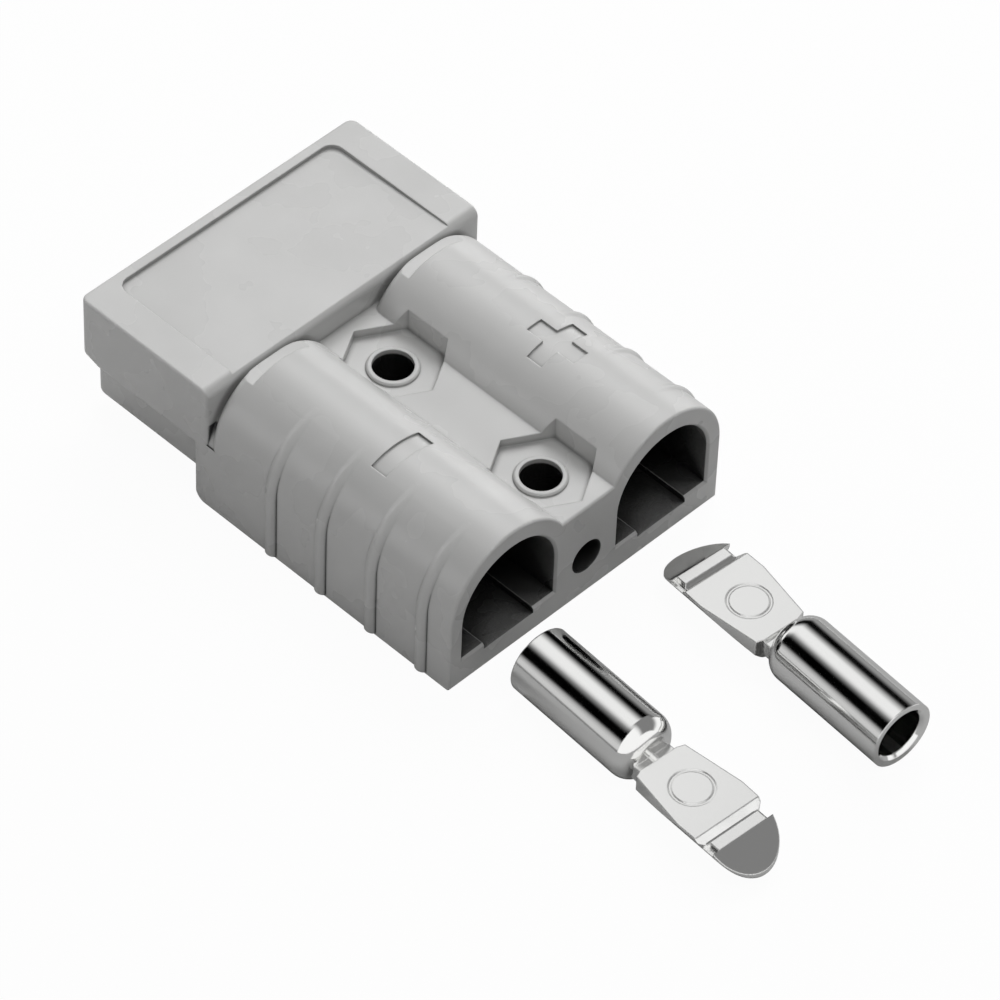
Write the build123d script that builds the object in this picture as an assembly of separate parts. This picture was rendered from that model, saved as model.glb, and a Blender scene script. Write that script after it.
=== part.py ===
from build123d import *
import math
import os

# Two-pole genderless power connector: one moulded housing, two retention springs in its
# floor, and two crimp contacts that lie loose behind the cable openings.
# Millimetres. The origin is midway between the two mounting holes, on the flat face that
# the housing lies on. +Z is up, -Y is the mating end, +Y the cable end, +X the minus pole.

# Housing envelope
housing_width = 36.6
hood_top_z = 15.4            # flat top of the hood above the flat face
hump_top_z = 16.2            # crest of the two rounded cable humps
edge_radius = 0.3            # along the hood's top and around the rear face
pole_spacing = 20.8          # between the two cable openings

# Mounting holes, which set the length of the body
hole_spacing = 20.0
hole_radius = 2.1
rear_margin = 6.4            # rear hole to the rear face
front_margin = 8.3           # front hole to the front face of the body

# Hood and side walls at the mating end
hood_reach = 16.3            # ahead of the front face of the body
hood_overlap = 1.6           # over the body, behind its front face
hood_wall = 1.2
mating_gap = 0.1             # between two mated halves, at the middle plane
hood_corner_radius = 1.0
hood_rear_radius = 1.1
hump_front_radius = 1.0      # where a hump ends behind the hood
cove_width = 0.3             # between the hood's rear face and a hump
cove_depth = 1.6
wall_nose_length = 2.6       # sloped front end of the side wall's free edge
wall_nose_rise = 0.8
panel_border_side = 3.8
panel_border_front = 1.2
panel_depth_front = 0.45
panel_depth_rear = 0.15
panel_corner_radius = 1.4

# Body between the humps
valley_floor_z = 12.1
hex_width = 9.4              # across flats of the nut pockets
hex_floor_z = 11.1
ring_width = 0.55            # raised lip around each mounting hole
ring_height = 0.35

# Cable cavities
cavity_radius = 6.15
crest_wall = 2.15
cavity_floor_z = 3.2
passage_radius = 4.6         # narrower way through the front wall
passage_length = 4.0
mouth_chamfer = 0.25

# Tongues, one for each pole
tongue_width = 12.6
tongue_set_back = 0.25       # tongue tip behind the hood's front edge
tongue_lift = 1.6            # outer face of the tongue above the flat face
tongue_rail = 1.6
tongue_tip_wall = 1.4
tongue_tip_drop = 1.0        # tip wall below the rails
tongue_corner_radius = 1.3
tongue_edge_radius = 0.8     # around the outer face

# Rib between the tongues
rib_width = 5.7
rib_slot_width = 2.8
rib_slot_front_wall = 2.5
rib_slot_rear_wall = 2.6
rib_nose_chamfer = 1.2

# Grip ridges on the two sides
ridge_count = 4
ridge_pitch = 6.8
ridge_height = 0.5
ridge_rear_margin = 3.8      # last ridge to the rear face
ridge_fade_angle = 70.0      # where a ridge sinks into the hump
ridge_foot_z = 0.3

# Flat face
flat_front_radius = 1.2
flat_slot_width = 2.45
flat_slot_length = 9.9
flat_slot_depth = 8.0
flat_window_width = 7.3
flat_window_length = 2.35
flat_window_depth = 8.0
flat_window_margin = 1.95    # window to the front face of the body
dial_radius = 4.3
dial_depth = 0.3
dial_x = -10.1
dial_rear_margin = 8.45
label_width = 6.6
label_inner_x = 6.8
label_depth_rear = 0.3
label_depth_front = 0.06
minus_label_rear_margin = 4.0
minus_label_length = 26.1
plus_label_rear_margin = 15.8
plus_label_length = 16.9

# Bore in the middle of the rear face
rear_bore_radius = 1.95
rear_bore_z = 5.1
rear_bore_depth = 3.6

# Polarity marks, sunk into the humps and the tongues
mark_length = 6.3
mark_width = 2.0
mark_depth = 0.25
hump_mark_rear_margin = 14.65
tongue_mark_set_back = 8.95  # behind the tongue's tip

# Retention springs and their seats
spring_width = 6.0
spring_thickness = 0.5
spring_side_gap = 0.3
groove_depth = 0.7
spring_ear_reach = 5.75      # from the pole's middle line
spring_ear_length = 2.0
spring_ear_margin = 15.2     # ears behind the front face of the body
spring_ear_gap = 0.2
spring_tail_length = 4.6     # behind the middle of the ears
spring_tip_z = 5.8           # free height of its underside at the tip
spring_ramp_length = 11.6
spring_ramp_radius = 8.0
ledge_reach = 1.6
ledge_thickness = 1.2
ledge_margin = 0.6           # on each side of the cross groove
pin_hole_radius = 0.95
pin_hole_offset = 5.3

# Crimp contacts, lying with the latch side of the blade up
contact_length = 31.4
barrel_radius = 3.6
barrel_wall = 1.0
barrel_length = 15.7
barrel_bore_depth = 12.5
barrel_mouth_chamfer = 0.35
barrel_shoulder_radius = 2.0
neck_length = 0.9
neck_width = 4.4
neck_top_z = 0.1
neck_bottom_z = -1.6
neck_crease_radius = 0.35    # round bead between the two flats of the neck
blade_top_z = 0.5            # latch side of the blade above the barrel's axis
blade_belly_z = -2.6         # lowest line of the round wiping side
blade_belly_radius = 4.3
blade_width = 8.1
blade_front_width = 8.0
blade_neck_width = 6.1
blade_widest = 0.25          # share of the flat's length from its front end
blade_corner = 0.3
latch_step_y = 5.5           # nose tip to the start of the flat
latch_groove_z = -0.25
latch_groove_length = 0.8    # from the flat down to the groove's lowest line
latch_slope_length = 0.2     # and up again to the ridge
latch_ridge_z = 0.1
latch_ridge_length = 1.2
latch_ridge_width = 6.0      # between the bites in the blade's two sides
latch_bite_z = -0.7          # floor of the bites
nose_width = 7.6
nose_tip_z = -2.0
stamp_radius = 2.1           # round stamp in the middle of the flat
stamp_line = 0.3
stamp_depth = 0.08
stamp_y = 10.2               # behind the nose tip
nose_play = 0.2              # nose to the wall at the tongue's tip, once pushed in
latch_play = 0.1

# Places of the two loose contacts. The plus contact has its nose towards the housing, the
# minus contact its barrel. Shift is that end's distance in X from the pole's middle line,
# and gap its distance behind the rear face.
plus_contact_shift = 1.84
plus_contact_gap = 3.9
plus_contact_turn = -4.5
minus_contact_shift = 1.2
minus_contact_gap = 5.2
minus_contact_turn = 176.4

# Worked out from the sizes above
half_width = housing_width / 2
pole_x = pole_spacing / 2
hump_radius = half_width - pole_x
hump_centre_z = hump_top_z - hump_radius
rear_y = hole_spacing / 2 + rear_margin
body_front_y = -hole_spacing / 2 - front_margin
hood_front_y = body_front_y - hood_reach
hood_rear_y = body_front_y + hood_overlap
hump_front_y = hood_rear_y + cove_width
hump_round_y = hump_front_y + hump_front_radius
roof_z = hood_top_z - hood_wall
middle_z = hood_top_z / 2
wall_edge_z = middle_z + mating_gap / 2
tongue_top_z = middle_z - mating_gap / 2
tongue_tip_y = hood_front_y + tongue_set_back
cavity_centre_z = hump_top_z - crest_wall - cavity_radius
groove_z = cavity_floor_z - groove_depth
flat_end_y = contact_length - barrel_length - neck_length
neck_end_y = contact_length - barrel_length + barrel_shoulder_radius
blade_widest_y = latch_step_y + (flat_end_y - latch_step_y) * blade_widest
latch_groove_y = latch_step_y - latch_groove_length
ridge_end_y = latch_groove_y - latch_slope_length
ridge_start_y = ridge_end_y - latch_ridge_length
nose_seat_y = tongue_tip_y + tongue_tip_wall + nose_play
spring_tip_y = nose_seat_y + latch_groove_y + latch_play
spring_ramp_start_y = spring_tip_y + spring_ramp_length
spring_ear_y = body_front_y + spring_ear_margin
spring_rear_y = spring_ear_y + spring_tail_length
poles = (-1, 1)
BEYOND = 2.0                 # how far a cutting tool reaches past the face it opens
CLOSE_BEYOND = 0.5           # the same, where other walls stand close in front
SAME_PLACE = 0.01            # two coordinates nearer than this are one
RIDGE_BURIED_ANGLE = 10.0    # how far a ridge runs on under the hump's surface
FULL_ROUND = 0.95            # share of an end's length that its rounding takes


def block(x, y, z):
    """A box between two values on each axis, in either order."""
    size = [abs(b - a) for a, b in (x, y, z)]
    middle = [(a + b) / 2 for a, b in (x, y, z)]
    return Pos(*middle) * Box(*size)


def along_y(profile, y_from, y_to):
    """Extrudes an X-Z profile between two values of Y, the first one nearer the cable end."""
    plane = Plane(origin=(0, y_from, 0), x_dir=(1, 0, 0), z_dir=(0, -1, 0))
    return extrude(plane * profile, amount=y_from - y_to)


def along_x(points, x_from, x_to):
    """Extrudes a closed Y-Z outline between two values of X."""
    plane = Plane(origin=(x_from, 0, 0), x_dir=(0, 1, 0), z_dir=(1, 0, 0))
    outline = make_face(Polyline(*points, close=True))
    return extrude(plane * outline, amount=x_to - x_from)


def edges_at(shape, axis, **places):
    """The straight edges along an axis that pass through the named X, Y or Z."""
    found = shape.edges().filter_by(axis)
    for name, place in places.items():
        found = found.filter_by(lambda e: abs(getattr(e.center(), name) - place) < SAME_PLACE)
    return found


def edges_in_plane(shape, y):
    """The round edges in one plane across the length."""
    circles = shape.edges().filter_by(GeomType.CIRCLE)
    return circles.filter_by_position(Axis.Y, y - SAME_PLACE, y + SAME_PLACE)


def hump_section(side, drop):
    """The round upper half of a hump, in X-Z, lowered by a drop."""
    upper_half = Pos(0, hump_radius) * Rectangle(2 * hump_radius, 2 * hump_radius)
    return Pos(side * pole_x, hump_centre_z - drop) * (Circle(hump_radius) & upper_half)


def hump_front(side):
    """The round front end of a hump, and the cove that parts it from the hood."""
    nose = along_y(hump_section(side, 0), hump_round_y, hump_front_y)
    arc = edges_in_plane(nose, hump_front_y)
    nose = fillet(arc, hump_front_radius * FULL_ROUND)
    return nose + along_y(hump_section(side, cove_depth), hump_round_y, body_front_y)


def body_block():
    """The body: a block under two round humps, with a flat valley between them."""
    foot = Pos(0, hump_centre_z / 2) * Rectangle(housing_width, hump_centre_z)
    valley = Pos(0, valley_floor_z / 2) * Rectangle(pole_spacing, valley_floor_z)
    low_profile = foot + valley
    profile = low_profile
    for side in poles:
        profile += hump_section(side, 0)
    body = along_y(profile, rear_y, hump_round_y)
    rear_face = body.faces().sort_by(Axis.Y)[-1]
    body = fillet(rear_face.edges(), edge_radius)
    front = along_y(low_profile, hump_round_y, body_front_y)
    front = fillet(edges_at(front, Axis.X, Y=body_front_y, Z=0), flat_front_radius)
    body += front
    for side in poles:
        body += hump_front(side)
    return body


def side_ridge(side, y):
    """One half-round grip ridge, which runs up the side and sinks into the hump."""
    drop = ridge_height / math.tan(math.radians(ridge_fade_angle))
    centre_x = pole_x + ridge_height
    centre_z = hump_centre_z - drop
    reach = hump_radius - ridge_height
    foot = Pos(centre_x + reach, 0, ridge_foot_z) * Cylinder(
        ridge_height, centre_z - ridge_foot_z, align=(Align.CENTER, Align.CENTER, Align.MIN))
    section = Pos(centre_x + reach, 0, centre_z) * Circle(ridge_height)
    bend = revolve(section, axis=Axis((centre_x, 0, centre_z), (0, -1, 0)),
                   revolution_arc=ridge_fade_angle + RIDGE_BURIED_ANGLE)
    ridge = Pos(0, y, 0) * (foot + bend)
    return ridge if side > 0 else mirror(ridge, about=Plane.YZ)


def hood_block():
    """The hood: a roof, two side walls and the thick rear part that grows out of the body."""
    hood = block((-half_width, half_width), (hood_front_y, hood_rear_y), (wall_edge_z, hood_top_z))
    hood = fillet(edges_at(hood, Axis.Z, Y=hood_front_y), hood_corner_radius)
    hood = fillet(edges_at(hood, Axis.X, Y=hood_rear_y, Z=hood_top_z), hood_rear_radius)
    top_rim = hood.faces().sort_by(Axis.Z)[-1].edges().sort_by(Axis.Y)[:-1]
    hood = fillet(top_rim, edge_radius)
    inside = half_width - hood_wall
    hood -= block((-inside, inside), (hood_front_y - BEYOND, body_front_y), (wall_edge_z - BEYOND, roof_z))
    nose_top = wall_edge_z + wall_nose_rise
    nose_end = hood_front_y + wall_nose_length
    nose = [(hood_front_y - BEYOND, wall_edge_z - BEYOND), (hood_front_y - BEYOND, nose_top),
            (hood_front_y, nose_top), (nose_end, wall_edge_z), (nose_end, wall_edge_z - BEYOND)]
    return hood - along_x(nose, -half_width - BEYOND, half_width + BEYOND)


def hood_panel():
    """The sunk panel of the hood's top, deepest at the front, open at the rounded rear edge."""
    front = hood_front_y + panel_border_front
    rear = hood_rear_y + BEYOND
    half = half_width - panel_border_side
    slope = [(front, hood_top_z - panel_depth_front), (rear, hood_top_z - panel_depth_rear),
             (rear, hood_top_z + BEYOND), (front, hood_top_z + BEYOND)]
    tool = along_x(slope, -half, half)
    return fillet(edges_at(tool, Axis.Z, Y=front), panel_corner_radius)


def centre_rib():
    """The rib under the hood's roof, between the tongues, with its long slot."""
    half = rib_width / 2
    rib = block((-half, half), (hood_front_y, body_front_y), (wall_edge_z, roof_z + hood_wall / 2))
    rib = chamfer(edges_at(rib, Axis.X, Y=hood_front_y, Z=wall_edge_z), rib_nose_chamfer)
    slot = rib_slot_width / 2
    slot_front = hood_front_y + rib_slot_front_wall
    slot_rear = body_front_y - rib_slot_rear_wall
    return rib - block((-slot, slot), (slot_front, slot_rear), (wall_edge_z - BEYOND, roof_z))


def tongue(side):
    """One tongue: a channel that carries the contact's blade, closed by a low wall at its tip."""
    middle = side * pole_x
    half = tongue_width / 2
    rail_half = half - tongue_rail
    body = block((middle - half, middle + half), (tongue_tip_y, body_front_y + hood_overlap / 2),
                 (tongue_lift, tongue_top_z))
    body = fillet(edges_at(body, Axis.Z, Y=tongue_tip_y), tongue_corner_radius)
    outline = body.faces().sort_by(Axis.Z)[0].edges().sort_by(Axis.Y)[:-1]
    body = fillet(outline, tongue_edge_radius)
    channel_front = tongue_tip_y + tongue_tip_wall
    body -= block((middle - rail_half, middle + rail_half), (channel_front, body_front_y + hood_overlap),
                  (cavity_floor_z, tongue_top_z + BEYOND))
    low_z = tongue_top_z - tongue_tip_drop
    drop = [(tongue_tip_y - BEYOND, low_z), (channel_front, low_z),
            (channel_front + tongue_tip_drop, tongue_top_z),
            (channel_front + tongue_tip_drop, tongue_top_z + BEYOND),
            (tongue_tip_y - BEYOND, tongue_top_z + BEYOND)]
    return body - along_x(drop, middle - half - BEYOND, middle + half + BEYOND)


def arch(radius):
    """The section of the way through a pole: a flat floor, straight sides and a round top."""
    straight = cavity_centre_z - cavity_floor_z
    foot = Pos(0, cavity_floor_z + straight / 2) * Rectangle(2 * radius, straight)
    round_top = Pos(0, cavity_centre_z) * Circle(radius)
    above_floor = Pos(0, cavity_floor_z + radius * 2) * Rectangle(4 * radius, 4 * radius)
    return foot + (round_top & above_floor)


def cavity(side):
    """The way through one pole: a wide arch behind, a narrower one through the front wall."""
    wide_front = body_front_y + passage_length
    wide = along_y(arch(cavity_radius), rear_y + BEYOND, wide_front)
    narrow = along_y(arch(passage_radius), wide_front + BEYOND, body_front_y - CLOSE_BEYOND)
    mouth = Plane(origin=(0, rear_y - mouth_chamfer, 0), x_dir=(-1, 0, 0), z_dir=(0, 1, 0))
    flare = extrude(mouth * arch(cavity_radius), amount=2 * mouth_chamfer, taper=-45)
    return Pos(side * pole_x, 0, 0) * (wide + narrow + flare)


def spring_seat(side):
    """The groove and cross groove in the cavity's floor that the retention spring lies in."""
    middle = side * pole_x
    half = spring_width / 2 + spring_side_gap
    groove = block((middle - half, middle + half), (tongue_tip_y + tongue_tip_wall, rear_y + BEYOND),
                   (groove_z, cavity_floor_z + groove_depth))
    reach = spring_ear_reach + spring_ear_gap
    ear_half = spring_ear_length / 2 + spring_ear_gap
    ears = block((middle - reach, middle + reach), (spring_ear_y - ear_half, spring_ear_y + ear_half),
                 (groove_z, cavity_floor_z))
    return groove + ears


def ledges(side):
    """Two ledges at the cavity's sides, over the ears of the spring."""
    middle = side * pole_x
    half = spring_ear_length / 2 + spring_ear_gap + ledge_margin
    pair = None
    for way in poles:
        outer = middle + way * (cavity_radius + hump_radius) / 2
        inner = middle + way * (cavity_radius - ledge_reach)
        ledge = block((inner, outer), (spring_ear_y - half, spring_ear_y + half),
                      (cavity_floor_z, cavity_floor_z + ledge_thickness))
        pair = ledge if pair is None else pair + ledge
    return pair


def mark(side, x, y):
    """The outline of a polarity mark: a bar for minus, a cross for plus."""
    bar = Rectangle(mark_length, mark_width)
    if side < 0:
        bar += Rectangle(mark_width, mark_length)
    return Pos(x, y) * bar


def hump_mark(side):
    """A mark sunk evenly into the crest of a hump."""
    outline = mark(side, side * pole_x, rear_y - hump_mark_rear_margin)
    tool = extrude(Plane.XY.offset(hump_centre_z) * outline, amount=hump_top_z)
    core = Pos(side * pole_x, hump_centre_z) * Circle(hump_radius - mark_depth)
    return tool - along_y(core, rear_y, hood_rear_y)


def tongue_mark(side):
    """A mark sunk into the outer face of a tongue."""
    plane = Plane.XY.offset(tongue_lift - BEYOND)
    outline = mark(side, side * pole_x, tongue_tip_y + tongue_mark_set_back)
    return extrude(plane * outline, amount=BEYOND + mark_depth)


def nut_pocket(y):
    """A hexagonal nut pocket in the valley, with a raised lip around its mounting hole."""
    outline = Pos(0, y) * RegularPolygon(hex_width / 2, 6, major_radius=False, rotation=30)
    tool = extrude(Plane.XY.offset(hex_floor_z) * outline, amount=hump_top_z)
    lip = Pos(0, y, hex_floor_z) * Cylinder(hole_radius + ring_width, ring_height,
                                           align=(Align.CENTER, Align.CENTER, Align.MIN))
    lip = chamfer(lip.faces().sort_by(Axis.Z)[-1].edges(), ring_height / 2)
    return tool - lip


def sloped_label(inner_x, side, rear_margin_y, length):
    """A shallow recess in the flat face that fades out towards the mating end."""
    rear = rear_y - rear_margin_y
    front = rear - length
    outline = [(rear, -BEYOND), (rear, label_depth_rear), (front, label_depth_front), (front, -BEYOND)]
    near = side * inner_x
    far = side * (inner_x + label_width)
    return along_x(outline, min(near, far), max(near, far))


def flat_face_tools():
    """Everything that is cut into the flat face."""
    slot = SlotOverall(flat_slot_length, flat_slot_width, rotation=90)
    tools = extrude(Plane.XY.offset(-BEYOND) * slot, amount=BEYOND + flat_slot_depth)
    window_front = body_front_y + flat_window_margin
    tools += block((-flat_window_width / 2, flat_window_width / 2),
                   (window_front, window_front + flat_window_length), (-BEYOND, flat_window_depth))
    tools += Pos(dial_x, rear_y - dial_rear_margin, 0) * Cylinder(dial_radius, 2 * dial_depth)
    tools += sloped_label(label_inner_x, 1, minus_label_rear_margin, minus_label_length)
    tools += sloped_label(label_inner_x, -1, plus_label_rear_margin, plus_label_length)
    for side in poles:
        for way in poles:
            x = side * pole_x + way * pin_hole_offset
            tools += Pos(x, spring_ear_y, 0) * Cylinder(pin_hole_radius, 2 * (groove_z + groove_depth / 2))
    return tools


def make_housing():
    housing = body_block() + hood_block() + centre_rib()
    for side in poles:
        housing += tongue(side)
    for side in poles:
        housing -= cavity(side) + spring_seat(side)
        housing -= hump_mark(side)
        housing -= tongue_mark(side)
        housing += ledges(side)
        for number in range(ridge_count):
            housing += side_ridge(side, rear_y - ridge_rear_margin - number * ridge_pitch)
    housing -= hood_panel()
    housing -= flat_face_tools()
    for y in (-hole_spacing / 2, hole_spacing / 2):
        housing -= nut_pocket(y)
        housing -= Pos(0, y, valley_floor_z / 2) * Cylinder(hole_radius, 2 * valley_floor_z)
    bore = Pos(0, rear_bore_z) * Circle(rear_bore_radius)
    housing -= along_y(bore, rear_y + BEYOND, rear_y - rear_bore_depth)
    return housing


def make_spring(side):
    """A flat spring strip with two ears, whose front end rises to latch behind the blade's ridge."""
    middle = side * pole_x
    half = spring_width / 2
    low = groove_z
    high = low + spring_thickness
    tilt = math.atan2(spring_tip_z - low, spring_ramp_start_y - spring_tip_y)
    inner_bend_y = spring_ramp_start_y + spring_thickness * math.tan(tilt / 2)
    tip_top_y = spring_tip_y + spring_thickness * math.sin(tilt)
    tip_top_z = spring_tip_z + spring_thickness * math.cos(tilt)
    outline = [(spring_rear_y, low), (spring_ramp_start_y, low), (spring_tip_y, spring_tip_z),
               (tip_top_y, tip_top_z), (inner_bend_y, high), (spring_rear_y, high)]
    strip = along_x(outline, middle - half, middle + half)
    strip = fillet(edges_at(strip, Axis.X, Y=inner_bend_y, Z=high), spring_ramp_radius)
    outer_bend = edges_at(strip, Axis.X, Y=spring_ramp_start_y, Z=low)
    strip = fillet(outer_bend, spring_ramp_radius + spring_thickness)
    ear_half = spring_ear_length / 2
    ears = block((middle - spring_ear_reach, middle + spring_ear_reach),
                 (spring_ear_y - ear_half, spring_ear_y + ear_half), (low, high))
    return strip + ears


def blade_plan():
    """The blade seen from above: a round nose, a tapered flat and a neck."""
    nose = nose_width / 2
    side = [(nose, nose), (blade_front_width / 2, latch_step_y), (blade_width / 2, blade_widest_y),
            (blade_neck_width / 2, flat_end_y - blade_corner), (neck_width / 2, flat_end_y),
            (neck_width / 2, neck_end_y)]
    other = [(-x, y) for x, y in reversed(side)]
    flat = make_face(Polyline(*side, *other, close=True))
    return flat + (Pos(0, nose) * Circle(nose) & Pos(0, nose / 2) * Rectangle(2 * nose, nose))


def blade_side():
    """The blade seen from the side: steep nose, latch ridge, groove, flat and neck."""
    nose_slope = (latch_ridge_z - nose_tip_z) / ridge_start_y
    low = blade_belly_z - BEYOND
    return make_face(Polyline(
        (-BEYOND, nose_tip_z - BEYOND * nose_slope), (ridge_start_y, latch_ridge_z),
        (ridge_end_y, latch_ridge_z), (latch_groove_y, latch_groove_z), (latch_step_y, blade_top_z),
        (flat_end_y, blade_top_z), (flat_end_y, neck_top_z), (neck_end_y, neck_top_z),
        (neck_end_y, neck_bottom_z), (flat_end_y, neck_bottom_z), (flat_end_y - blade_corner, low),
        (-BEYOND, low), close=True))


def latch_bites():
    """A bite out of each side of the blade's top, beside the latch ridge and its groove."""
    inner = latch_ridge_width / 2
    outer = blade_front_width / 2 + CLOSE_BEYOND
    outline = [(inner, ridge_start_y), (inner, ridge_end_y), (outer, latch_step_y), (outer, ridge_start_y)]
    bite = extrude(Plane.XY.offset(latch_bite_z) * make_face(Polyline(*outline, close=True)), amount=BEYOND)
    return bite + mirror(bite, about=Plane.YZ)


def make_contact():
    """One crimp contact along +Y from its nose at the origin, the barrel's axis at Z = 0."""
    side_plane = Plane(origin=(-blade_width, 0, 0), x_dir=(0, 1, 0), z_dir=(1, 0, 0))
    blade = extrude(side_plane * blade_side(), amount=2 * blade_width)
    blade = blade & extrude(Plane.XY.offset(-2 * barrel_radius) * blade_plan(), amount=4 * barrel_radius)
    belly = Pos(0, blade_belly_z + blade_belly_radius) * Circle(blade_belly_radius)
    blade = (blade & along_y(belly, neck_end_y + BEYOND, -BEYOND)) - latch_bites()
    barrel = along_y(Circle(barrel_radius), contact_length, contact_length - barrel_length)
    barrel = fillet(barrel.edges().filter_by(GeomType.CIRCLE).sort_by(Axis.Y)[0], barrel_shoulder_radius)
    bore = along_y(Circle(barrel_radius - barrel_wall), contact_length + BEYOND,
                   contact_length - barrel_bore_depth)
    crease = along_y(Pos(0, neck_top_z) * Circle(neck_crease_radius), neck_end_y, flat_end_y)
    contact = blade + crease + barrel - bore
    mouth = edges_in_plane(contact, contact_length).sort_by(SortBy.RADIUS)[0]
    return chamfer(mouth, barrel_mouth_chamfer) - stamp()


def stamp():
    """The bare ring that is stamped into the flat of the blade."""
    outer = Circle(stamp_radius + stamp_line / 2)
    inner = Circle(stamp_radius - stamp_line / 2)
    ring = extrude(Plane.XY.offset(blade_top_z - stamp_depth) * (outer - inner), amount=2 * stamp_depth)
    return Pos(0, stamp_y, 0) * ring


def lay_contact(contact, near_end, x, gap, turn):
    """Lays a contact on the surface, with one end of it behind the rear face and turned about Z."""
    on_surface = Pos(x, rear_y + gap, barrel_radius) * Rot(0, 0, turn)
    return on_surface * Pos(0, -near_end, 0) * contact


def make_parts():
    contact = make_contact()
    minus_x = pole_x + minus_contact_shift
    plus_x = -pole_x + plus_contact_shift
    return {
        "connector_housing": make_housing(),
        "minus_retention_spring": make_spring(1),
        "plus_retention_spring": make_spring(-1),
        "minus_crimp_contact": lay_contact(contact, contact_length, minus_x, minus_contact_gap,
                                           minus_contact_turn),
        "plus_crimp_contact": lay_contact(contact, 0, plus_x, plus_contact_gap, plus_contact_turn),
    }


os.makedirs("parts", exist_ok=True)
for name, part in make_parts().items():
    export_step(part, f"parts/{name}.step")
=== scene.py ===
"""A two-pole genderless power connector with its two loose crimp contacts, dressed for looks.

The packed model gives every shape and place. This script welds its pieces, gives them their
moulded and plated finishes, adds the small pressed details and sets up the studio.
"""

import math

import bmesh
import bpy
from bpy.props import FloatProperty, FloatVectorProperty, IntProperty, PointerProperty
from mathutils import Matrix, Vector


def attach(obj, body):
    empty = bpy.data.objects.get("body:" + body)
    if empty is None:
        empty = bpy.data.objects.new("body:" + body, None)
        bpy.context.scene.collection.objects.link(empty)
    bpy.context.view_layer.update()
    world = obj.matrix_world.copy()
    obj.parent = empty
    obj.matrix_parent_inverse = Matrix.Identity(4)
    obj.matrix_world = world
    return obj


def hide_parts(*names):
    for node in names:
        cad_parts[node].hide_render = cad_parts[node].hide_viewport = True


bl_info = {
    "name": "Genderless power connector",
    "version": (1, 0, 0),
    "blender": (4, 5, 0),
    "location": "3D View > Sidebar > Connector",
    "description": "Dresses a two-pole power connector and sets up its studio",
    "category": "Object",
}

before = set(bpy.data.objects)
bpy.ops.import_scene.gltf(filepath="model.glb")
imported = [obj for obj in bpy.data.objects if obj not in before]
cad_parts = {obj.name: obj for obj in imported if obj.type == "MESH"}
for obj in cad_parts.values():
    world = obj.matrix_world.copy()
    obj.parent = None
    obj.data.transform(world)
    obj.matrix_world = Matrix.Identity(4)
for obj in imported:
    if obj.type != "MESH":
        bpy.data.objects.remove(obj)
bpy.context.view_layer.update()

MM = 0.001
WELD_DISTANCE = 0.0005 * MM
SMOOTH_ANGLE = math.radians(25)
SECTION_STEPS = 20
BEND_STEPS = 16
CARD_STEPS = 24
LEVEL_NORMAL = 0.97
CREST_DEPTH = 1 * MM
NOISE_RANGE = (0.3, 0.7)
# painted shade: the range of openness over which the recesses are darkened in the colour
PAINTED_SHADE_OPENNESS = (0.43, 0.83)
# painted shade: the range of openness over which the inner corners are darkened in the colour
PAINTED_CORNER_SHADE_OPENNESS = (0.45, 0.9)
# painted highlight: the range of openness over which an edge counts as an outer edge
PAINTED_HIGHLIGHT_OPENNESS = (0.85, 1.0)
# painted highlight: the turn of the normal over which an edge is lightened in the colour
PAINTED_HIGHLIGHT_TURN = (0.93, 0.76)
# painted shade: the height over which the darkening of the recesses fades out at their top
PAINTED_SHADE_FADE = 0.2 * MM
ROLLING_STRETCH = (1.0, 0.04, 1.0)
PRESSED = "pressed_face"
HOUSING = "connector_housing"
SPRINGS = ("minus_retention_spring", "plus_retention_spring")
LEAF_SPRINGS = ("minus_leaf_spring", "plus_leaf_spring")
CONTACTS = ("minus_crimp_contact", "plus_crimp_contact")


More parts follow.
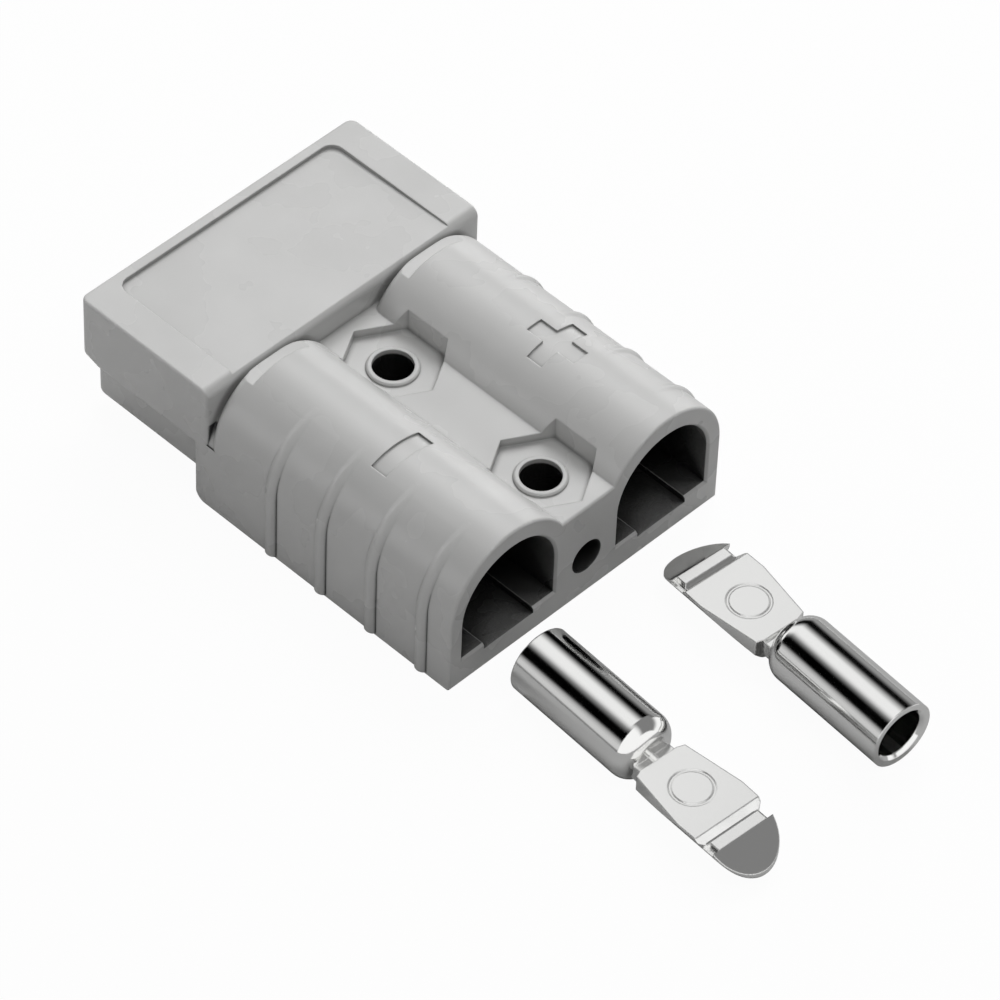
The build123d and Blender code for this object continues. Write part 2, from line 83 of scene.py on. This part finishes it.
class HousingFinish(bpy.types.PropertyGroup):
    """The light grey moulded plastic of the housing."""

    colour: FloatVectorProperty(
        name="Colour", description="Colour of the plastic", subtype="COLOR", size=3,
        min=0.0, max=1.0, default=(0.585, 0.585, 0.578))
    roughness: FloatProperty(
        name="Roughness", description="Roughness of the moulded surface", subtype="FACTOR",
        min=0.0, max=1.0, default=0.27)
    edge_radius: FloatProperty(
        name="Edge radius", description="Rounding seen along the moulded edges",
        unit="LENGTH", default=0.22 * MM)
    grain_size: FloatProperty(
        name="Grain size", description="Size of the eroded texture of the mould",
        unit="LENGTH", default=0.16 * MM)
    grain_height: FloatProperty(
        name="Grain height", description="Height of the eroded texture of the mould",
        unit="LENGTH", default=0.004 * MM)
    flow_size: FloatProperty(
        name="Flow size", description="Size of the faint flow clouds in the plastic",
        unit="LENGTH", default=9.0 * MM)
    flow_strength: FloatProperty(
        name="Flow strength", description="Contrast of the faint flow clouds",
        subtype="FACTOR", min=0.0, max=1.0, default=0.05)
    # Painted shade: the next three settings darken the colour in the recesses and holes, where
    # little light reaches.
    painted_shade_reach: FloatProperty(
        name="Recess reach", description="How near the walls of a dark recess stand",
        unit="LENGTH", default=16.0 * MM)
    painted_shade_top: FloatProperty(
        name="Recess top", description="Height up to which the recesses are dark",
        unit="LENGTH", default=11.0 * MM)
    painted_shade_tone: FloatProperty(
        name="Recess tone", description="Share of the colour left deep in a recess",
        subtype="FACTOR", min=0.0, max=1.0, default=0.03)
    # Painted shade: the next two settings darken the colour in lines along the inner corners.
    painted_corner_shade_reach: FloatProperty(
        name="Crevice reach", description="Width of the dark lines in the inner corners",
        unit="LENGTH", default=0.8 * MM)
    painted_corner_shade_tone: FloatProperty(
        name="Crevice tone", description="Share of the colour left in the inner corners",
        subtype="FACTOR", min=0.0, max=1.0, default=0.6)
    # Painted highlight: the next three settings lighten the colour along the outer edges, where
    # light catches them.
    painted_highlight_colour: FloatVectorProperty(
        name="Rim colour", description="Colour that the polished rims tend to",
        subtype="COLOR", size=3, min=0.0, max=1.0, default=(0.9, 0.9, 0.89))
    painted_highlight_reach: FloatProperty(
        name="Rim reach", description="Half width of the polished rims along the edges",
        unit="LENGTH", default=0.3 * MM)
    painted_highlight_tone: FloatProperty(
        name="Rim tone", description="How much lighter the polished rims are",
        subtype="FACTOR", min=0.0, max=1.0, default=0.4)


class GripRidges(bpy.types.PropertyGroup):
    """The round grip ridges, a little wider than the packed ones."""

    count: IntProperty(name="Count", description="Ridges on each side", min=1, default=4)
    pitch: FloatProperty(
        name="Pitch", description="From one ridge to the next", unit="LENGTH",
        default=6.8 * MM)
    first_place: FloatProperty(
        name="First place", description="Place of the ridge nearest the cable end",
        unit="LENGTH", default=12.6 * MM)
    width: FloatProperty(
        name="Width", description="Half width of a ridge", unit="LENGTH", default=0.72 * MM)
    height: FloatProperty(
        name="Height", description="Height of a ridge over the side", unit="LENGTH",
        default=0.495 * MM)
    side_place: FloatProperty(
        name="Side place", description="From the middle plane to the plain side",
        unit="LENGTH", default=18.3 * MM)
    foot_height: FloatProperty(
        name="Foot height", description="Where a ridge starts above the flat face",
        unit="LENGTH", default=0.3 * MM)
    bend_height: FloatProperty(
        name="Bend height", description="Where the ridge starts to follow the hump",
        unit="LENGTH", default=8.12 * MM)
    bend_radius: FloatProperty(
        name="Bend radius", description="Radius of the ridge over the hump", unit="LENGTH",
        default=7.4 * MM)
    bend_angle: FloatProperty(
        name="Bend angle", description="Where the ridge has sunk into the hump",
        subtype="ANGLE", default=math.radians(80))


class SilverFinish(bpy.types.PropertyGroup):
    """The bright silver plating of the contacts."""

    colour: FloatVectorProperty(
        name="Colour", description="Colour of the plating", subtype="COLOR", size=3,
        min=0.0, max=1.0, default=(0.90, 0.90, 0.89))
    roughness: FloatProperty(
        name="Roughness", description="Roughness of the plating", subtype="FACTOR",
        min=0.0, max=1.0, default=0.09)
    edge_radius: FloatProperty(
        name="Edge radius", description="Rounding seen along the pressed edges",
        unit="LENGTH", default=0.18 * MM)
    satin_roughness: FloatProperty(
        name="Satin roughness", description="Roughness of the pressed upper faces of the blade",
        subtype="FACTOR", min=0.0, max=1.0, default=0.2)
    satin_lean: FloatProperty(
        name="Satin lean", description="Lean of the pressed faces towards the minus pole",
        subtype="ANGLE", default=math.radians(10.5))
    cloud_size: FloatProperty(
        name="Cloud size", description="Size of the patches of brighter and duller plating",
        unit="LENGTH", default=3.0 * MM)
    draw_line_size: FloatProperty(
        name="Draw line size", description="Width of the fine lines left by drawing the metal",
        unit="LENGTH", default=0.12 * MM)
    draw_line_height: FloatProperty(
        name="Draw line height", description="Height of the fine drawing lines",
        unit="LENGTH", default=0.0006 * MM)


class SpringFinish(bpy.types.PropertyGroup):
    """The rolled stainless strip of the retention springs."""

    colour: FloatVectorProperty(
        name="Colour", description="Colour of the steel", subtype="COLOR", size=3,
        min=0.0, max=1.0, default=(0.56, 0.56, 0.54))
    roughness: FloatProperty(
        name="Roughness", description="Roughness of the rolled strip", subtype="FACTOR",
        min=0.0, max=1.0, default=0.3)
    rolling_line_size: FloatProperty(
        name="Rolling line size", description="Width of the rolling lines",
        unit="LENGTH", default=0.08 * MM)


class StudioSetup(bpy.types.PropertyGroup):
    """The camera, the floor and the lamps."""

    target: FloatVectorProperty(
        name="Target", description="Point that the camera looks at", subtype="TRANSLATION",
        size=3, default=(-2.6 * MM, 2.4 * MM, 0.1 * MM))
    azimuth: FloatProperty(
        name="Azimuth", description="Camera's place round the connector, from the mating end",
        subtype="ANGLE", default=math.radians(133.11))
    elevation: FloatProperty(
        name="Elevation", description="Camera's height above the floor", subtype="ANGLE",
        default=math.radians(47.09))
    roll: FloatProperty(
        name="Roll", description="Turn of the camera about its own axis", subtype="ANGLE",
        default=math.radians(2.4))
    distance: FloatProperty(
        name="Distance", description="Camera's distance from the target", unit="LENGTH",
        default=628.0 * MM)
    lens: FloatProperty(
        name="Lens", description="Focal length", subtype="DISTANCE_CAMERA", default=233.4)
    floor_size: FloatProperty(
        name="Floor size", description="Width of the floor", unit="LENGTH", default=4.0)
    floor_tone: FloatProperty(
        name="Floor tone", description="Share of light that the floor gives back",
        subtype="FACTOR", min=0.0, max=1.0, default=0.78)
    floor_reflection: FloatProperty(
        name="Floor reflection", description="Share of the floor's light that reflections show",
        subtype="FACTOR", min=0.0, max=1.0, default=0.62)
    floor_glow: FloatProperty(
        name="Floor glow", description="Share of plain white in the floor that the camera sees",
        subtype="FACTOR", min=0.0, max=1.0, default=0.96)
    ambient: FloatProperty(
        name="Ambient", description="Strength of the light from all round", min=0.0, default=0.03)


PARTS = (("housing", HousingFinish), ("grip", GripRidges), ("silver", SilverFinish),
         ("spring", SpringFinish), ("studio", StudioSetup))


def settings(group):
    """The scene's property group of that name."""
    return getattr(bpy.context.scene, "connector_" + group)


class Shader:
    """A node tree that is built one node at a time."""

    def __init__(self, tree):
        self.tree = tree
        tree.nodes.clear()

    def node(self, kind, inputs=None, **attributes):
        """A node with its attributes set, and its inputs set or linked."""
        made = self.tree.nodes.new(kind)
        for name, value in attributes.items():
            setattr(made, name, value)
        for name, value in (inputs or {}).items():
            if isinstance(value, bpy.types.NodeSocket):
                self.tree.links.new(value, made.inputs[name])
            else:
                made.inputs[name].default_value = value
        return made

    def mapped(self, value, low, high, to_low=0.0, to_high=1.0, **attributes):
        """A value's place between two limits, spread over two others."""
        spread = self.node("ShaderNodeMapRange", {
            "Value": value, "From Min": low, "From Max": high,
            "To Min": to_low, "To Max": to_high}, **attributes)
        return spread.outputs["Result"]

    def maths(self, operation, first, second):
        """The result of an operation on two values."""
        return self.node("ShaderNodeMath", {0: first, 1: second}, operation=operation).outputs[0]

    def tinted(self, first, second, share=1.0, blend="MULTIPLY"):
        """Two colours blended by a share."""
        blended = self.node("ShaderNodeMix", {"Factor": share, "A": first, "B": second},
                            data_type="RGBA", blend_type=blend)
        return blended.outputs["Result"]

    def mixed(self, share, first, second):
        """Two shaders mixed by a share."""
        return self.node("ShaderNodeMixShader", {0: share, 1: first, 2: second}).outputs[0]

    def light(self, tone, strength=1.0, kind="ShaderNodeEmission"):
        """An even grey light."""
        return self.node(kind, {"Color": (tone, tone, tone, 1), "Strength": strength}).outputs[0]

    def finish(self, surface, kind="ShaderNodeOutputMaterial"):
        """Ends the tree with a shader."""
        self.node(kind, {"Surface": surface})


def new_material(name):
    """A material with an empty node tree, and the shader that fills it."""
    material = bpy.data.materials.new(name)
    material.use_nodes = True
    return material, Shader(material.node_tree)


def moulded_plastic(finish):
    """Light grey plastic with an eroded grain, faint flow clouds and softened edges, with painted
    shade in the recesses and inner corners and a painted highlight along the outer edges.
    """
    material, shader = new_material("moulded_grey_plastic")
    place = shader.node("ShaderNodeTexCoord").outputs["Object"]
    flow = shader.node("ShaderNodeTexNoise", {
        "Vector": place, "Scale": 1 / finish.flow_size, "Detail": 3.0}).outputs["Fac"]
    clouds = shader.mapped(flow, *NOISE_RANGE, 1 - finish.flow_strength, 1.0)
    colour = shader.tinted((*finish.colour, 1), clouds)
    # Painted shade: the colour is darkened to near black deep in the recesses and holes, below a
    # set height.
    openness = shader.node("ShaderNodeAmbientOcclusion", {
        "Distance": finish.painted_shade_reach}, samples=8, only_local=True)
    recess_painted_shade = shader.mapped(openness.outputs["AO"], *PAINTED_SHADE_OPENNESS, finish.painted_shade_tone,
                         interpolation_type="SMOOTHSTEP")
    axes = shader.node("ShaderNodeSeparateXYZ", {"Vector": place})
    above_painted_shade = shader.mapped(axes.outputs["Z"], finish.painted_shade_top - PAINTED_SHADE_FADE, finish.painted_shade_top)
    with_painted_shade = shader.tinted(colour, shader.maths("MAXIMUM", recess_painted_shade, above_painted_shade))
    # Painted shade: the colour is darkened in thin lines along the inner corners.
    near = shader.node("ShaderNodeAmbientOcclusion", {
        "Distance": finish.painted_corner_shade_reach}, samples=16, only_local=True).outputs["AO"]
    with_painted_corner_shade = shader.tinted(with_painted_shade, shader.mapped(near, *PAINTED_CORNER_SHADE_OPENNESS, finish.painted_corner_shade_tone))
    # Painted highlight: the colour is lightened towards a pale grey along the outer edges.
    flat = shader.node("ShaderNodeNewGeometry").outputs["Normal"]
    wide_edge = shader.node("ShaderNodeBevel", {"Radius": finish.painted_highlight_reach}, samples=12)
    turn = shader.node("ShaderNodeVectorMath", {
        0: flat, 1: wide_edge.outputs["Normal"]}, operation="DOT_PRODUCT").outputs["Value"]
    edge_painted_highlight = shader.mapped(turn, *PAINTED_HIGHLIGHT_TURN, 0.0, finish.painted_highlight_tone)
    outer_painted_highlight = shader.maths("MULTIPLY", edge_painted_highlight, shader.mapped(near, *PAINTED_HIGHLIGHT_OPENNESS))
    with_painted_highlight = shader.tinted(with_painted_corner_shade, (*finish.painted_highlight_colour, 1), outer_painted_highlight, "MIX")
    grain = shader.node("ShaderNodeTexNoise", {
        "Vector": place, "Scale": 1 / finish.grain_size, "Detail": 2.0})
    edge = shader.node("ShaderNodeBevel", {"Radius": finish.edge_radius}, samples=6)
    bump = shader.node("ShaderNodeBump", {
        "Strength": 1.0, "Distance": finish.grain_height, "Height": grain.outputs["Fac"],
        "Normal": edge.outputs["Normal"]})
    surface = shader.node("ShaderNodeBsdfPrincipled", {
        "Base Color": with_painted_highlight, "Normal": bump.outputs["Normal"], "IOR": 1.5,
        "Roughness": shader.mapped(flow, *NOISE_RANGE, finish.roughness - 0.03,
                                   finish.roughness + 0.04)})
    shader.finish(surface.outputs["BSDF"])
    return material


def silver_plating(finish):
    """Bright plated metal with fine drawing lines and softened edges."""
    material, shader = new_material("bright_silver_plating")
    place = shader.node("ShaderNodeTexCoord").outputs["Object"]
    cloud = shader.node("ShaderNodeTexNoise", {
        "Vector": place, "Scale": 1 / finish.cloud_size, "Detail": 3.0})
    rough = shader.mapped(cloud.outputs["Fac"], *NOISE_RANGE, finish.roughness * 0.7,
                          finish.roughness * 1.3)
    line = shader.node("ShaderNodeTexNoise", {
        "Vector": place, "Scale": 1 / finish.draw_line_size, "Detail": 1.0})
    edge = shader.node("ShaderNodeBevel", {"Radius": finish.edge_radius}, samples=6)
    pressed = shader.node("ShaderNodeAttribute", attribute_name=PRESSED).outputs["Fac"]
    lean = shader.node("ShaderNodeVectorMath", {
        0: (math.tan(finish.satin_lean), 0, 0), "Scale": pressed}, operation="SCALE")
    leaning = shader.node("ShaderNodeVectorMath", {
        0: edge.outputs["Normal"], 1: lean.outputs["Vector"]}, operation="ADD")
    unit = shader.node("ShaderNodeVectorMath", {0: leaning.outputs["Vector"]},
                       operation="NORMALIZE")
    bump = shader.node("ShaderNodeBump", {
        "Strength": 1.0, "Distance": finish.draw_line_height, "Height": line.outputs["Fac"],
        "Normal": unit.outputs["Vector"]})
    satin = shader.node("ShaderNodeMix", {
        "Factor": pressed, "A": rough, "B": finish.satin_roughness}, data_type="FLOAT")
    surface = shader.node("ShaderNodeBsdfPrincipled", {
        "Base Color": (*finish.colour, 1), "Metallic": 1.0,
        "Roughness": satin.outputs["Result"], "Normal": bump.outputs["Normal"]})
    shader.finish(surface.outputs["BSDF"])
    return material


def spring_steel(finish):
    """Rolled stainless strip, with fine lines along the strip."""
    material, shader = new_material("rolled_spring_steel")
    place = shader.node("ShaderNodeTexCoord").outputs["Object"]
    stretch = shader.node("ShaderNodeMapping", {"Vector": place, "Scale": ROLLING_STRETCH})
    lines = shader.node("ShaderNodeTexNoise", {
        "Vector": stretch.outputs["Vector"], "Scale": 1 / finish.rolling_line_size})
    rough = shader.mapped(lines.outputs["Fac"], *NOISE_RANGE, finish.roughness - 0.06,
                          finish.roughness + 0.08)
    surface = shader.node("ShaderNodeBsdfPrincipled", {
        "Base Color": (*finish.colour, 1), "Metallic": 1.0, "Roughness": rough})
    shader.finish(surface.outputs["BSDF"])
    return material


def welded_copy(node, name):
    """A copy of a packed node, its loose triangles joined and its rounded faces smooth."""
    shell = bmesh.new()
    shell.from_mesh(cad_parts[node].data)
    bmesh.ops.remove_doubles(shell, verts=shell.verts, dist=WELD_DISTANCE)
    mesh = bpy.data.meshes.new(name)
    shell.to_mesh(mesh)
    shell.free()
    if "custom_normal" in mesh.attributes:
        mesh.attributes.remove(mesh.attributes["custom_normal"])
    mesh.materials.clear()
    mesh.shade_smooth()
    mesh.set_sharp_from_angle(angle=SMOOTH_ANGLE)
    piece = bpy.data.objects.new(name, mesh)
    bpy.context.scene.collection.objects.link(piece)
    weigh = piece.modifiers.new("even_normals", "WEIGHTED_NORMAL")
    weigh.keep_sharp = True
    return piece


def ridge_tree():
    """A tree that sweeps a flattened round along a path and repeats it along the length."""
    tree = bpy.data.node_groups.new("swept_ridges", "GeometryNodeTree")
    kinds = {"Path": "Geometry", "Count": "Int", "Offset": "Vector", "Start": "Vector",
             "Width": "Float", "Height": "Float", "Material": "Material"}
    for name, kind in kinds.items():
        tree.interface.new_socket(name, in_out="INPUT", socket_type="NodeSocket" + kind)
    tree.interface.new_socket("Mesh", in_out="OUTPUT", socket_type="NodeSocketGeometry")
    maker = Shader(tree)
    given = maker.node("NodeGroupInput").outputs
    section = maker.node("GeometryNodeCurvePrimitiveCircle", {
        "Resolution": SECTION_STEPS, "Radius": given["Height"]})
    curve = maker.node("GeometryNodeMeshToCurve", {"Mesh": given["Path"]})
    swept = maker.node("GeometryNodeCurveToMesh", {
        "Curve": curve.outputs["Curve"], "Profile Curve": section.outputs["Curve"],
        "Fill Caps": True})
    ratio = maker.maths("DIVIDE", given["Width"], given["Height"])
    stretch = maker.node("ShaderNodeCombineXYZ", {"X": 1.0, "Y": ratio, "Z": 1.0})
    flat = maker.node("GeometryNodeTransform", {
        "Geometry": swept.outputs["Mesh"], "Scale": stretch.outputs["Vector"]})
    places = maker.node("GeometryNodeMeshLine", {
        "Count": given["Count"], "Start Location": given["Start"], "Offset": given["Offset"]})
    row = maker.node("GeometryNodeInstanceOnPoints", {
        "Points": places.outputs["Mesh"], "Instance": flat.outputs["Geometry"]})
    real = maker.node("GeometryNodeRealizeInstances", {"Geometry": row.outputs["Instances"]})
    smooth = maker.node("GeometryNodeSetShadeSmooth", {"Geometry": real.outputs["Geometry"]})
    coated = maker.node("GeometryNodeSetMaterial", {
        "Geometry": smooth.outputs["Geometry"], "Material": given["Material"]})
    maker.node("NodeGroupOutput", {"Mesh": coated.outputs["Geometry"]})
    return tree


def swept_ridges(tree, grip, side, material):
    """The mesh of one side's grip ridges, which run up the side and sink into the hump."""
    path = [(side * grip.side_place, 0, grip.foot_height)]
    for step in range(BEND_STEPS + 1):
        angle = grip.bend_angle * step / BEND_STEPS
        reach = grip.side_place - grip.bend_radius * (1 - math.cos(angle))
        path.append((side * reach, 0, grip.bend_height + grip.bend_radius * math.sin(angle)))
    line = bpy.data.meshes.new("ridge_path")
    line.from_pydata(path, [(i, i + 1) for i in range(len(path) - 1)], [])
    holder = bpy.data.objects.new("ridge_path", line)
    bpy.context.scene.collection.objects.link(holder)
    sweep = holder.modifiers.new("sweep", "NODES")
    sweep.node_group = tree
    values = {"Count": grip.count, "Offset": (0, -grip.pitch, 0),
              "Start": (0, grip.first_place, 0), "Width": grip.width, "Height": grip.height,
              "Material": material}
    for socket in tree.interface.items_tree:
        if socket.in_out == "INPUT" and socket.name in values:
            sweep[socket.identifier] = values[socket.name]
    graph = bpy.context.evaluated_depsgraph_get()
    mesh = bpy.data.meshes.new_from_object(holder.evaluated_get(graph))
    bpy.data.objects.remove(holder)
    return mesh


def join_mesh(piece, mesh):
    """Adds a mesh to a piece, its faces turned outward."""
    added = bmesh.new()
    added.from_mesh(mesh)
    bmesh.ops.recalc_face_normals(added, faces=added.faces)
    added.to_mesh(mesh)
    added.free()
    whole = bmesh.new()
    whole.from_mesh(piece.data)
    whole.from_mesh(mesh)
    whole.to_mesh(piece.data)
    whole.free()


def mark_pressed_faces(mesh):
    """Marks the level upper faces of a contact's blade, which the press leaves satin."""
    share = mesh.attributes.new(PRESSED, "FLOAT", "FACE")
    crest = max(vertex.co.z for vertex in mesh.vertices)
    for face in mesh.polygons:
        level = face.normal.z > LEVEL_NORMAL and face.center.z < crest - CREST_DEPTH
        share.data[face.index].value = 1.0 if level else 0.0


def finish_piece(piece, material, slot, *nodes):
    """Gives a piece its material and its place in the frame."""
    piece.data.materials.append(material)
    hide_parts(*nodes)
    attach(piece, "root")


class CONNECTOR_OT_dress_housing(bpy.types.Operator):
    """Weld the moulded housing and give it its grey plastic"""

    bl_idname = "connector.dress_housing"
    bl_label = "Dress housing"

    def execute(self, context):
        plastic = moulded_plastic(settings("housing"))
        shell = welded_copy(HOUSING, "moulded_housing")
        tree = ridge_tree()
        for side in (-1, 1):
            join_mesh(shell, swept_ridges(tree, settings("grip"), side, plastic))
        finish_piece(shell, plastic, "moulded_housing", HOUSING)
        return {"FINISHED"}


class CONNECTOR_OT_dress_springs(bpy.types.Operator):
    """Weld the two retention springs and give them their steel"""

    bl_idname = "connector.dress_springs"
    bl_label = "Dress springs"

    def execute(self, context):
        steel = spring_steel(settings("spring"))
        for node, name in zip(SPRINGS, LEAF_SPRINGS):
            strip = welded_copy(node, name)
            finish_piece(strip, steel, "spring_steel", node)
        return {"FINISHED"}


class CONNECTOR_OT_dress_contacts(bpy.types.Operator):
    """Weld the two crimp contacts and give them their plating"""

    bl_idname = "connector.dress_contacts"
    bl_label = "Dress contacts"

    def execute(self, context):
        plating = silver_plating(settings("silver"))
        for node in CONTACTS:
            contact = welded_copy(node, node.replace("crimp", "plated"))
            mark_pressed_faces(contact.data)
            finish_piece(contact, plating, "silver_plating", node)
        return {"FINISHED"}


def floor_material(studio):
    """A pale floor that keeps the shadow and shows near white to the camera."""
    material, shader = new_material("pale_floor")
    ray = shader.node("ShaderNodeLightPath").outputs
    matt = shader.node("ShaderNodeBsdfDiffuse", {"Color": (*[studio.floor_tone] * 3, 1)})
    share = shader.maths("MULTIPLY", ray["Is Camera Ray"], studio.floor_glow)
    both = shader.mixed(share, matt.outputs[0], shader.light(1))
    lost = shader.maths("MULTIPLY", ray["Is Glossy Ray"], 1 - studio.floor_reflection)
    shader.finish(shader.mixed(lost, both, shader.light(0, 0.0)))
    return material


def white_world(studio):
    """A white surround for the eye and for reflections, and a weak plain light."""
    world = bpy.data.worlds.new("white_surround")
    world.use_nodes = True
    shader = Shader(world.node_tree)
    ray = shader.node("ShaderNodeLightPath").outputs
    seen = shader.maths("MAXIMUM", ray["Is Camera Ray"], ray["Is Glossy Ray"])
    clear = shader.maths("MAXIMUM", seen, ray["Is Transmission Ray"])
    weak = shader.light(1, studio.ambient, "ShaderNodeBackground")
    white = shader.light(1, 1.0, "ShaderNodeBackground")
    shader.finish(shader.mixed(clear, weak, white), "ShaderNodeOutputWorld")
    bpy.context.scene.world = world


def facing(direction):
    """The turn whose local +Z points along a direction."""
    return direction.to_track_quat("Z", "Y").to_matrix().to_4x4()


def from_angles(azimuth, elevation):
    """The direction to a point at an azimuth, from the mating end, and an elevation."""
    flat = math.cos(elevation)
    return Vector((math.sin(azimuth) * flat, -math.cos(azimuth) * flat, math.sin(elevation)))


def add_camera(studio):
    """A camera at an azimuth and an elevation, which looks at the target."""
    data = bpy.data.cameras.new("camera")
    data.lens = studio.lens
    data.clip_start = 0.01
    data.clip_end = 20.0
    camera = bpy.data.objects.new("camera", data)
    bpy.context.scene.collection.objects.link(camera)
    back = from_angles(studio.azimuth, studio.elevation)
    place = Vector(studio.target) + back * studio.distance
    right = Vector((math.cos(studio.azimuth), math.sin(studio.azimuth), 0))
    up = back.cross(right)
    level = Matrix((right, up, back)).transposed().to_4x4()
    camera.matrix_world = Matrix.Translation(place) @ level @ Matrix.Rotation(studio.roll, 4, "Z")
    bpy.context.scene.camera = camera


def add_softbox(name, azimuth, elevation, distance, width, height, power, lit):
    """A rectangular lamp at an azimuth and an elevation, for the pieces of one collection."""
    data = bpy.data.lights.new(name, "AREA")
    data.shape = "RECTANGLE"
    data.size = width
    data.size_y = height
    data.energy = power
    lamp = bpy.data.objects.new(name, data)
    lamp.light_linking.receiver_collection = lit
    bpy.context.scene.collection.objects.link(lamp)
    way = from_angles(math.radians(azimuth), math.radians(elevation))
    lamp.matrix_world = Matrix.Translation(way * distance) @ facing(way)


def card_material(name, low, high, low_soft, high_soft, tone):
    """An even tone between two angles about the connector's length, which fades at its edges."""
    material, shader = new_material(name)
    place = shader.node("ShaderNodeTexCoord").outputs["Object"]
    axes = shader.node("ShaderNodeSeparateXYZ", {"Vector": place}).outputs
    angle = shader.maths("ARCTAN2", axes["Z"], axes["X"])
    rise = shader.mapped(angle, low, low + low_soft, interpolation_type="SMOOTHSTEP")
    fall = shader.mapped(angle, high - high_soft, high, 1.0, 0.0,
                         interpolation_type="SMOOTHSTEP")
    clear = shader.node("ShaderNodeBsdfTransparent").outputs[0]
    shader.finish(shader.mixed(shader.maths("MULTIPLY", rise, fall), clear, shader.light(tone)))
    return material


def add_card(name, low, high, soft, tone, y_range=(-0.8, 0.0), radius=0.5):
    """A curved card round the connector's length, which only reflections show."""
    low, high = math.radians(low), math.radians(high)
    low_soft, high_soft = (math.radians(width) for width in soft)
    corners = []
    for step in range(CARD_STEPS + 1):
        angle = low + (high - low) * step / CARD_STEPS
        for y in y_range:
            corners.append((radius * math.cos(angle), y, radius * math.sin(angle)))
    faces = [(2 * i, 2 * i + 1, 2 * i + 3, 2 * i + 2) for i in range(CARD_STEPS)]
    mesh = bpy.data.meshes.new(name)
    mesh.from_pydata(corners, [], faces)
    mesh.materials.append(card_material(name, low, high, low_soft, high_soft, tone))
    card = bpy.data.objects.new(name, mesh)
    bpy.context.scene.collection.objects.link(card)
    card.visible_camera = False
    card.visible_diffuse = False
    card.visible_shadow = False
    card.visible_transmission = False


class CONNECTOR_OT_set_stage(bpy.types.Operator):
    """Set up the floor, the surround, the lamps, the cards and the camera"""

    bl_idname = "connector.set_stage"
    bl_label = "Set stage"

    def execute(self, context):
        studio = settings("studio")
        half = studio.floor_size / 2
        mesh = bpy.data.meshes.new("floor")
        mesh.from_pydata([(-half, -half, 0), (half, -half, 0), (half, half, 0), (-half, half, 0)],
                         [], [(0, 1, 2, 3)])
        mesh.materials.append(floor_material(studio))
        floor = bpy.data.objects.new("floor", mesh)
        context.scene.collection.objects.link(floor)
        white_world(studio)
        add_camera(studio)
        lit = bpy.data.collections.new("lit_by_softboxes")
        for name in ("moulded_housing", *LEAF_SPRINGS, "floor"):
            lit.objects.link(context.scene.objects[name])
        # azimuth and elevation in degrees, then distance, width and height in metres, and watts
        add_softbox("overhead_softbox", 300, 52, 0.60, 0.40, 0.40, 2.45, lit)
        add_softbox("left_softbox", 298, 12, 0.70, 0.24, 0.14, 1.25, lit)
        add_softbox("side_softbox", 61, 18, 0.70, 0.34, 0.18, 0.78, lit)
        add_softbox("rear_softbox", 178, 68, 0.80, 0.30, 0.30, 1.8, lit)
        # from one angle above the +X horizon to another, with the width of each soft edge
        add_card("side_flag", 18, 98, (22, 26), 0.0)
        add_card("side_diffuser", -2, 36, (4, 14), 0.62, radius=0.52)
        add_card("overhead_diffuser", 60, 138, (40, 30), 0.9, radius=0.49)
        add_card("far_flag", 100, 166, (20, 18), 0.0)
        add_card("horizon_card", -6, 9, (2, 8), 0.16)
        add_card("far_card", 146, 200, (8, 4), 0.3, radius=0.52)
        add_card("nose_card", 80, 165, (20, 20), 0.22, (-0.13, 0.6), radius=0.48)
        context.scene.view_settings.view_transform = "Standard"
        return {"FINISHED"}


class CONNECTOR_PT_panel(bpy.types.Panel):
    """The connector's steps and their settings"""

    bl_idname = "CONNECTOR_PT_panel"
    bl_label = "Power connector"
    bl_space_type = "VIEW_3D"
    bl_region_type = "UI"
    bl_category = "Connector"

    def draw(self, context):
        layout = self.layout
        for operator in OPERATORS:
            layout.operator(operator.bl_idname)
        for group, kind in PARTS:
            box = layout.box()
            box.label(text=kind.__doc__)
            for name in kind.__annotations__:
                box.prop(settings(group), name)


OPERATORS = (CONNECTOR_OT_dress_housing, CONNECTOR_OT_dress_springs, CONNECTOR_OT_dress_contacts,
             CONNECTOR_OT_set_stage)


def register():
    for group, kind in PARTS:
        bpy.utils.register_class(kind)
        setattr(bpy.types.Scene, "connector_" + group, PointerProperty(type=kind))
    for kind in (*OPERATORS, CONNECTOR_PT_panel):
        bpy.utils.register_class(kind)


def unregister():
    for kind in reversed((*OPERATORS, CONNECTOR_PT_panel)):
        bpy.utils.unregister_class(kind)
    for group, kind in reversed(PARTS):
        delattr(bpy.types.Scene, "connector_" + group)
        bpy.utils.unregister_class(kind)


def main():
    register()
    bpy.ops.connector.dress_housing()
    bpy.ops.connector.dress_springs()
    bpy.ops.connector.dress_contacts()
    bpy.ops.connector.set_stage()
    bpy.context.view_layer.update()


if __name__ == "__main__":
    main()
